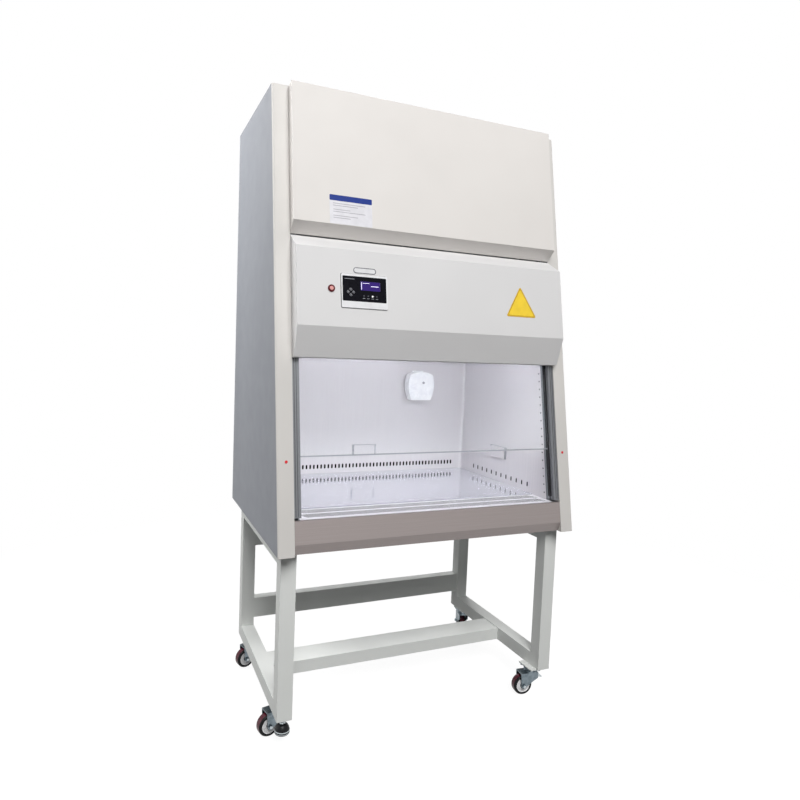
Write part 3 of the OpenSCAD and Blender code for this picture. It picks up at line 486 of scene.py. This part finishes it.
cap_x, cap_s = 521, 288
caps = joined("column_caps", [
    moved(turned("cap", [(4.8, -0.3), (4.8, 0.6), (3.6, 1.5)], sides=24), (x, 0, cap_s))
    for x in (-cap_x, cap_x)])
paint(caps, moulded("RedCap", "#d3202a", 0.3))
settle(caps, "cabinet", slope)

# ---- Service door ----
# Folded white steel pan on two hinges, closed on a grey sponge gasket glued to its rim.
# A card without words is stuck on its face: white, with a blue band and a few thin rules.


def block(name, low, high):
    """A box between two corners, in millimetres, ready to be shaped."""
    bpy.ops.object.select_all(action="DESELECT")
    low, high = Vector(low), Vector(high)
    bpy.ops.mesh.primitive_cube_add(size=1, location=(low + high) / 2, scale=high - low)
    return named(name)


def round_corners(obj, axis, radius, segments):
    """Rounds the edges of a piece that run along one axis."""
    bpy.ops.object.mode_set(mode="EDIT")
    bpy.ops.mesh.select_mode(type="EDGE")
    bpy.ops.mesh.select_all(action="DESELECT")
    bpy.ops.object.mode_set(mode="OBJECT")
    for edge in obj.data.edges:
        start, end = (obj.data.vertices[i].co for i in edge.vertices)
        edge.select = abs(start[axis] - end[axis]) > 1e-4
    bpy.ops.object.mode_set(mode="EDIT")
    bpy.ops.mesh.bevel(offset=radius, segments=segments)
    shaped()
    return obj


def plate(name, low, high, radius, along=1, segments=5):
    """A flat piece between two corners, with its four edges along one axis rounded."""
    return round_corners(block(name, low, high), along, radius, segments)


def round_edges(obj, width, segments=2, angle=30):
    """Rounds every edge sharper than an angle, by a width in millimetres."""
    bpy.ops.object.modifier_add(type="BEVEL")
    bevel = obj.modifiers[-1]
    bevel.width, bevel.segments, bevel.angle_limit = width, segments, math.radians(angle)
    bpy.ops.object.modifier_apply(modifier=bevel.name)


coat(powder_coat("PowderCoatDoor", "#e4e0dc", "#e0dcd8"), "service_door")
# The gasket follows the rim at both sides and below, and is open at the top, by the hinges.
rim_low, rim_high, rim_x, gasket_w = 976, 1486, 496, 10
gasket = cut(block("door_gasket", (-rim_x, -1.4, rim_low), (rim_x, -0.25, rim_high)),
             block("inside", (gasket_w - rim_x, -3, rim_low + gasket_w),
                   (rim_x - gasket_w, 3, rim_high + 60)))
paint(gasket, moulded("GreySponge", "#4c4e50", 0.8, 1.5, 0.1))
settle(gasket, "service_door", slope)

# The door's face stands out from the columns' face, and print lies a hair above the card.
door_face = -44
card_left, card_right, card_low, card_high = -380, -234, 1037, 1132
ink_out, ink_in = door_face - 0.62, door_face - 0.48
card = plate("door_card", (card_left, door_face - 0.5, card_low), (card_right, door_face, card_high), 4)
round_edges(card, 0.15, 1)
band = plate("band", (card_left + 0.2, ink_out, 1113), (card_right - 0.2, ink_in, card_high - 0.2), 3)
paint(card, moulded("WhiteCard", "#d8d7dc", 0.4))
paint(band, moulded("BlueInk", "#1f3684", 0.4, Specular_IOR_Level=0.15))
grey_ink = moulded("GreyInk", "#a3a0a8", 0.45)
rules = [block("rule", (card_left + 12, ink_out, s), (card_right - 24 - 26 * (number % 3), ink_in, s + 2))
         for number, s in enumerate((1103, 1096, 1083, 1076, 1063, 1056))]
for rule in rules:
    paint(rule, grey_ink)
settle(joined("door_card", [card, band, *rules]), "service_door", slope)

# ---- Control fascia ----
# Folded steel hood in pale powder paint, hung between the columns, with its lower edge bent back.
# It carries the control panel and the power button at the left and two bare plates.
coat(powder_coat("PowderCoatFascia", "#dfdede", "#dbdada"), "fascia")
face = -67  # the fascia's flat face, out from the columns' face

# ---- Control panel ----
# A moulded white ABS panel on a black sponge gasket, with a gloss printed overlay, four rubber
# keys, a lit display and four diodes. The power button beside it is pink in a dark red bezel.
coat(moulded("PanelABS", "#e4e4e6", 0.4), "control_panel")
coat(moulded("KeyRubber", "#4a4a50", 0.55), "key_up", "key_down", "key_left", "key_right")
coat(moulded("RedPolycarbonate", "#571019", 0.35, Specular_IOR_Level=0.2), "power_bezel")
coat(moulded("PinkPolycarbonate", "#e2a09c", 0.3, Specular_IOR_Level=0.3), "power_button")

sponge = moulded("SpongeRubber", "#17181a", 0.8, 1.5, 0.1)
trim = plate("panel_gasket", (-357, face - 0.5, 760.6), (-198.2, face + 0.1, 871.4), 5)
cut(trim, plate("inside", (-340, face - 2, 778), (-215, face + 2, 854), 3))
paint(trim, sponge)
settle(trim, "cabinet", slope)

# The overlay has a window for the display and a hole for each key.
panel_face = -71
key_x, key_s, key_reach, hole_r = -324.6, 812, 9, 4.6
window_left, window_right, window_low, window_high = -292, -224.6, 819.4, 848.6
ways = {"up": (0, 1), "down": (0, -1), "left": (-1, 0), "right": (1, 0)}


def key_at(way, depth):
    """The middle of an arrow key, at a depth from the columns' face."""
    across, up = ways[way]
    return key_x + across * key_reach, depth, key_s + up * key_reach


film = plate("panel_overlay", (-352, panel_face - 0.35, 783), (-203.4, panel_face, 863), 3)
window = plate("window", (window_left, panel_face - 2, window_low),
               (window_right, panel_face + 2, window_high), 1.5)
cut(film, window, *(moved(rod("hole", hole_r, -2, 4), key_at(way, panel_face)) for way in ways))
paint(film, moulded("BlackOverlay", "#0b0b12", 0.3, 3, 0.003, Specular_IOR_Level=0.06))
settle(film, "cabinet", slope)


def glowing(name, colour, strength, base="#ffffff", gloss=0.3, **more):
    """A lit piece: a tube, a display or a diode behind a frosted lens, lit almost evenly."""
    made, tree, place = new_finish(name)
    cloud = between(tree, noise(tree, place, 20), 0.96, 1.04)
    light = add(tree, "Math", {0: cloud, 1: strength}, operation="MULTIPLY").outputs[0]
    surface(tree, Base_Color=linear(base), Roughness=gloss, Emission_Color=linear(colour),
            Emission_Strength=light, **more)
    return made


gap = 0.4
screen = plate("display", (window_left + gap, panel_face - 0.2, window_low + gap),
               (window_right - gap, panel_face + 1.5, window_high - gap), 1.2)
round_edges(screen, 0.2, 1)
paint(screen, glowing("LitDisplay", "#4f35a0", 0.5, "#0c0a18", 0.3, Specular_IOR_Level=0.06))
bars = [block("bar", (left, panel_face - 0.3, low), (right, panel_face - 0.1, high))
        for left, right, low, high in (
            (-289.4, -287.6, 822, 846), (-256, -230, 833, 835), (-284, -262, 842.5, 843.7))]
pale_light = glowing("PaleSegment", "#b9b0e8", 0.8)
for bar in bars:
    paint(bar, pale_light)
settle(joined("display", [screen, *bars]), "cabinet", slope)

# One diode of four is lit. Each has a plain printed dash below it, and a longer one heads the panel.
diodes, lit_diode, diode_x, diode_step = 4, 2, -281, 14.7
ink_front, ink_back = panel_face - 0.42, panel_face - 0.34
pale_ink = moulded("PaleInk", "#8e9096", 0.45)
lit_lens, dark_lens = glowing("LitDiode", "#ffffff", 1.6), moulded("DarkDiode", "#5b5d66", 0.2)
dots, marks = [], []
for number in range(diodes):
    x = diode_x + diode_step * number
    dot = turned("led", [(2.2, -0.3), (2.2, 0.3), (1.5, 0.8)], sides=20)
    moved(dot, (x, panel_face - 0.35, 802))
    paint(dot, lit_lens if number == lit_diode else dark_lens)
    dots.append(dot)
    marks.append(block("mark", (x - 4, ink_front, 793), (x + 4, ink_back, 794.6)))
marks.append(block("mark", (-345, ink_front, 853), (-312, ink_back, 854.6)))
settle(joined("status_lights", dots), "cabinet", slope)
legend = joined("panel_marks", marks)
paint(legend, pale_ink)
settle(legend, "cabinet", slope)

for way, (across, up) in ways.items():
    arrow = rod("key_arrow_" + way, 2.4, -0.1, 0.25, sides=3)
    arrow.data.transform(Matrix.Rotation(math.atan2(up, across) - math.pi / 2, 4, "Z"))
    moved(arrow, key_at(way, panel_face - 1.2))
    paint(arrow, pale_ink)
    settle(arrow, "key_" + way, slope)

# ---- Badge and triangle ----
# Two bare plates glued on the fascia: a moulded oval badge with a raised dark rim round a pale
# field, and a printed yellow triangle with a darker border, without any sign on it.
badge_out, badge_recess, rim_w = 0.8, 0.3, 2.2
badge = plate("badge_plate", (-313.5, face - badge_out, 874.5), (-236, face, 893.5), 9, segments=10)
round_edges(badge, 0.3, 2)
pick(badge, lambda c, n: n.y < -0.99)
bpy.ops.mesh.inset(thickness=rim_w)
bpy.ops.mesh.extrude_region_move(TRANSFORM_OT_translate={"value": (0, badge_recess, 0)})
shaped()
paint(badge, moulded("BadgeRim", "#54565c", 0.4),
      (moulded("BadgeWhite", "#d6d6d8", 0.4),
       lambda c, n: c.y > face - badge_out + badge_recess / 2 and n.y < -0.9))
settle(badge, "cabinet", slope)

triangle_at, border_r, field_r = (318, face, 806), 73, 62
border = round_corners(rod("border", border_r, -0.1, 0.5, sides=3), 2, 9, 6)
field = round_corners(rod("field", field_r, 0.4, 0.9, sides=3), 2, 7, 6)
paint(border, moulded("YellowRim", "#c9a21e", 0.35))
paint(field, moulded("YellowPlate", "#f2cf35", 0.35))
triangle = joined("yellow_plate", [moved(border, triangle_at), moved(field, triangle_at)])
settle(triangle, "cabinet", slope)

# ---- Sash ----
# Tempered glass, 5 mm thick, in anodised aluminium guides with black rubber wipers; a clamped
# aluminium strip stiffens its lower edge, and a counterweight hangs from the shaft's pulleys.


def brushed(name, light, dark, along, gloss=0.24, metal=1.0, streak_mm=180, width_mm=1.6,
            depth_mm=0.012, behind=None):
    """Brushed sheet: long thin scratches along one axis, drawn 1.6 mm wide to show.

    behind is a direction and a distance in mm; past it lie the cut edges of slots, painted near-black as
    painted shade in the slots.
    """
    made, tree, place = new_finish(name)
    stretch = [1 / width_mm] * 3
    stretch["XYZ".index(along)] = 1 / streak_mm
    streaks = add(tree, "Mapping", {"Vector": place, "Scale": stretch}).outputs[0]
    lines = add(tree, "TexNoise", {"Vector": streaks, "Scale": 1.0, "Detail": 3}).outputs["Fac"]
    tone = blend(tree, between(tree, lines, 0, 1), linear(light), linear(dark))
    if behind:
        way, limit = behind
        depth = add(tree, "VectorMath", {0: place, 1: way}, operation="DOT_PRODUCT").outputs["Value"]
        # The slots' cut edges are painted near-black: painted shade where the slots look dark.
        slot_shade = add(tree, "Math", {0: depth, 1: limit + 0.1}, operation="GREATER_THAN").outputs[0]
        tone = blend(tree, slot_shade, tone, linear("#141416"))
    surface(tree, Base_Color=tone, Metallic=metal,
            Roughness=between(tree, lines, gloss - 0.04, gloss + 0.06), Normal=bump(tree, lines, depth_mm))
    return made


def tempered_glass(name):
    """Clear tempered glass: lamps shine through it, and it keeps a faint green in its thickness."""
    made, tree, place = new_finish(name)
    pane = add(tree, "BsdfPrincipled", {"Base Color": linear("#fbfdfd"), "Roughness": 0.0,
                                        "Transmission Weight": 1.0, "IOR": 1.5})
    clear = add(tree, "BsdfTransparent", {"Color": linear("#f7faf9")})
    shade = add(tree, "LightPath").outputs["Is Shadow Ray"]
    both = add(tree, "MixShader", {0: shade, 1: pane.outputs[0], 2: clear.outputs[0]})
    add(tree, "OutputMaterial", {"Surface": both.outputs[0]})
    return made


coat(tempered_glass("TemperedGlass"), "sash_glass")
coat(brushed("AnodisedAluminium", "#7f8185", "#75777b", "Z", 0.42, 0.4), "guide_rails")
strip_metal = brushed("AnodisedStrip", "#a4a7ab", "#9a9da1", "X", 0.35, 0.8)
coat(strip_metal, "sash_strip")
coat(moulded("CastIron", "#3d3f43", 0.6, 4, 0.15), "counterweight")


def sided(name, side, low, high):
    """A box given for the right side of the cabinet; side -1 makes its mirror image at the left."""
    left, right = sorted((side * low[0], side * high[0]))
    return block(name, (left, *low[1:]), (right, *high[1:]))


# In each guide one wiper runs before the glass and one behind it, and two thin ones line its front.
wiper_top = 1392
wipers = [sided("wiper", side, low, (*high, wiper_top)) for side in (-1, 1) for low, high in (
    ((473.7, 15.5, 130), (475.5, 20.5)), ((473.7, 28.6, 130), (475.5, 33)),
    ((484.5, 2.1, 120), (486, 2.6)), ((491.5, 2.1, 120), (493, 2.6)))]
wiper = joined("guide_wipers", wipers)
paint(wiper, sponge)
settle(wiper, "cabinet", slope)

# ---- Work chamber ----
# Folded stainless sheet: brushed upright on the walls and across on the slotted grille, and so
# finely on the deck that it mirrors the slots. The apron below the opening is duller and browner.


def box_mm(node):
    """The lowest corner, the middle and the highest corner of a CAD node, in millimetres."""
    low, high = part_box(node)
    return low / mm, (low + high) / 2 / mm, high / mm


# The sheets' near faces, past which only the cut edges of their slots lie, which get painted shade
sheet_t, grille_top = 1.5, 762
wall_x, wall_y = box_mm("chamber_side_right")[0].x, box_mm("chamber_back")[2].y - sheet_t
wall_steel = ("#d7d4d7", "#d0cdd0", "Z", 0.36, 0.15)
for node, behind in (("chamber_back", ((0, 1, 0), wall_y)), ("chamber_side_left", ((-1, 0, 0), wall_x)),
                     ("chamber_side_right", ((1, 0, 0), wall_x))):
    coat(brushed("Stainless_" + node, *wall_steel, behind=behind), node)
coat(brushed("StainlessDeck", "#dcdde5", "#d6d8df", "X", 0.085, 0.65, depth_mm=0.0002),
     "work_deck", "drain_pan")
coat(brushed("StainlessGrille", "#ececf0", "#e4e4e8", "X", 0.35, 0.15, behind=((0, 0, -1), -grille_top)),
     "front_grille")
coat(brushed("StainlessApron", "#9b9290", "#978e8c", "X", 0.50, 0.5, depth_mm=0.002), "apron")
coat(powder_coat("PowderCoatDiffuser", "#e2e2e6", "#dcdce0"), "diffuser")

# An aluminium sill cap closes the corner between grille and column on each side.
sill = joined("sill_caps", [sided("sill", side, (476.7, -373.2, 760.4), (497.3, -336, 761.9))
                            for side in (-1, 1)])
round_edges(sill, 0.3, 1)
paint(sill, strip_metal)
settle(sill, "cabinet")

# Near-black sheets behind the return slots, the grille and the small holes beside the guides:
# painted shade, so that they read dark.
shade_sheet = [block("shade_sheet", (-468, 314, 772), (468, 320, 816)),
        block("shade_sheet", (-468, -366, 745), (468, -254, 748)),
        *(sided("shade_sheet", side, (488, -240, 772), (494, 200, 816)) for side in (1, -1))]
for side in (-1, 1):
    strip = sided("shade_sheet", side, (483, 55, 90), (487, 67, 640))
    strip.data.transform(Matrix.Scale(1 / mm, 4) @ slope @ Matrix.Scale(mm, 4))
    shade_sheet.append(strip)
shade_sheet = joined("painted_shade_sheets", shade_sheet)
paint(shade_sheet, moulded("PaintedShadeBlack", "#070708", 0.9, 1.5, 0.1, Specular_IOR_Level=0.1))
settle(shade_sheet, "cabinet")

# ---- Sockets and outlet ----
# Two brushed steel plates whose sprung flip covers match the walls, with two nylon inserts in
# each, and a moulded polycarbonate outlet with one insert under a bulged, latched cover.
coat(brushed("StainlessWalls", *wall_steel), "flip_cover_back", "flip_cover_side")
coat(brushed("StainlessCovers", "#b4b5bb", "#a6a8ae", "X", 0.30, 0.8), "socket_plates")
coat(moulded("OutletPolycarbonate", "#f1f3f5", 0.25), "outlet_box", "outlet_cover")
socket_white = moulded("SocketNylon", "#e6e6e4", 0.4)


def socket(radius, thick=0.8):
    """A round socket insert along Z: a dished face with three pin holes, for no one country."""
    insert = turned("socket", [(radius, 0), (radius, thick), (radius - 1.5, thick + 0.6),
                               (radius - 3, thick + 0.6), (radius - 4, thick - 0.4)], sides=40)
    circle = radius * 0.42
    return cut(insert, *(moved(rod("pin", 2.4, 0.4, 8, sides=16),
                               (circle * math.cos(angle), circle * math.sin(angle), 0), upward)
                         for angle in (math.pi / 2, math.pi * 7 / 6, math.pi * 11 / 6)))


_, back_mid, back_high = box_mm("flip_cover_back")
_, side_mid, side_high = box_mm("flip_cover_side")
outlet_low, outlet_mid, _ = box_mm("outlet_box")
small_r, large_r, pair, sunk = 15, 24, (-24, 24), 1.4
sidewise = Matrix.Rotation(-math.pi / 2, 4, "Z") @ outward
inserts = [
    *(moved(socket(small_r), (back_mid.x + off, back_high.y + sunk, 857)) for off in pair),
    *(moved(socket(small_r), (side_high.x + sunk, side_mid.y + off, 885), sidewise) for off in pair),
    moved(socket(large_r), (outlet_mid.x, outlet_low.y + 6.2, 1146))]
inserts = joined("socket_inserts", inserts)
paint(inserts, socket_white)
settle(inserts, "cabinet")

cover_low, cover_mid, _ = box_mm("outlet_cover")
latch = moved(turned("outlet_latch", [(5.5, -0.4), (5.5, 1.2), (4.6, 2), (2.4, 2), (2, 1.4)]),
              (cover_mid.x + 10, cover_low.y, 1158))
paint(latch, pale_ink)
settle(latch, "outlet_cover")

# ---- Fluorescent lamp ----
# A lit glass tube with plated end caps, in two white holders under a folded batten in powder
# paint, which is screwed up behind the fascia.
tube_x, tube_y, tube_z, tube_r, end_mm = 440, -200, 1335, 13, 22
lengthwise = Matrix.Rotation(math.pi / 2, 4, "Y")
lit = rod("lamp_glass", tube_r, end_mm - tube_x, tube_x - end_mm)
paint(lit, glowing("LitTube", "#fbf9ff", 12.5))
ends = [rod("end", tube_r, low, low + end_mm) for low in (-tube_x, tube_x - end_mm)]
for end in ends:
    paint(end, bright_zinc)
tube = moved(joined("fluorescent_tube", [lit, *ends]), (0, tube_y, tube_z), lengthwise)
settle(tube, "cabinet")
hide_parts("lamp")
holder_x, holder_half, batten_x, batten_half, batten_low = 453, 13, 465, 19, tube_z + 33
holders = [plate("holder", (x - holder_half, tube_y - 16, tube_z - 16),
                 (x + holder_half, tube_y + 16, batten_low), 8) for x in (-holder_x, holder_x)]
batten = block("batten", (-batten_x, tube_y - batten_half, batten_low),
               (batten_x, tube_y + batten_half, batten_low + 16))
batten = joined("lamp_batten", [batten, *holders])
round_edges(batten, 0.8, 2)
paint(batten, powder_coat("PowderCoatBatten", "#ececee", "#e6e6e8"))
settle(batten, "cabinet")
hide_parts("lamp")

# ---- Germicidal lamp ----
# An unlit ultraviolet tube of clear quartz with white ceramic ends, held by two plated spring
# clips on the back wall.
uv_x, uv_y, uv_r, ceramic_mm = 220, 272, 8, 16
quartz_x = uv_x - ceramic_mm + 2
quartz = moved(rod("quartz", uv_r - 0.5, -quartz_x, quartz_x), (0, uv_y, tube_z), lengthwise)
paint(quartz, moulded("QuartzTube", "#cdd3dc", 0.08))
ceramics = [moved(rod("ceramic", uv_r, low, low + ceramic_mm), (0, uv_y, tube_z), lengthwise)
            for low in (-uv_x, uv_x - ceramic_mm)]
clip_x, clip_half, clip_reach, clip_back = 225, 9, 14, box_mm("uv_lamp")[2].y
clips = [plate("clip", (x - clip_half, uv_y - uv_r, tube_z - clip_reach),
               (x + clip_half, clip_back, tube_z + clip_reach), 5, along=0) for x in (-clip_x, clip_x)]
for piece in ceramics:
    paint(piece, socket_white)
for piece in clips:
    paint(piece, bright_zinc)
uv = joined("germicidal_tube", [quartz, *ceramics, *clips])
settle(uv, "cabinet")
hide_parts("uv_lamp")

# ---- Air path ----
# Galvanised steel plenum, fan housing and impeller; filters of folded glass-fibre paper in
# aluminium frames; a motor in hammer paint.


def galvanised(name, spangle_mm=12):
    """Hot-dip galvanised sheet: crystals of zinc some 12 mm wide, each its own grey."""
    made, tree, place = new_finish(name)
    spangle = add(tree, "TexVoronoi", {"Vector": place, "Scale": 1 / spangle_mm}).outputs["Color"]
    tone = add(tree, "SeparateColor", {0: spangle}).outputs[0]
    surface(tree, Base_Color=blend(tree, tone, linear("#a7adb1"), linear("#c2c7ca")), Metallic=1.0,
            Roughness=add(tree, "MapRange", {"Value": tone, "To Min": 0.32, "To Max": 0.48}).outputs[0])
    return made


coat(galvanised("GalvanisedSheet"), "plenum", "blower_housing", "impeller")
coat(powder_coat("HammerPaintMotor", "#5c6167", "#4e5358", 0.35), "motor")

# Each filter's folded paper shows inside its frame, from above and from below.
filter_frame = brushed("FilterFrameAluminium", "#b9bcbf", "#a9acaf", "X", 0.4)
filter_paper = moulded("FilterPaper", "#e9e9e4", 0.85, 2, 0.05)
frame_x, frame_y = 0.0125, 0.013
for name in ("supply_filter", "exhaust_filter"):
    coat(filter_frame, name)
    pack, (low, high) = frame["nodes"][name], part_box(name)
    pack.data.materials.append(filter_paper)
    for piece in pack.data.polygons:
        middle = piece.center
        if abs(middle.x) < high.x - frame_x and low.y + frame_y < middle.y < high.y - frame_y:
            piece.material_index = 1
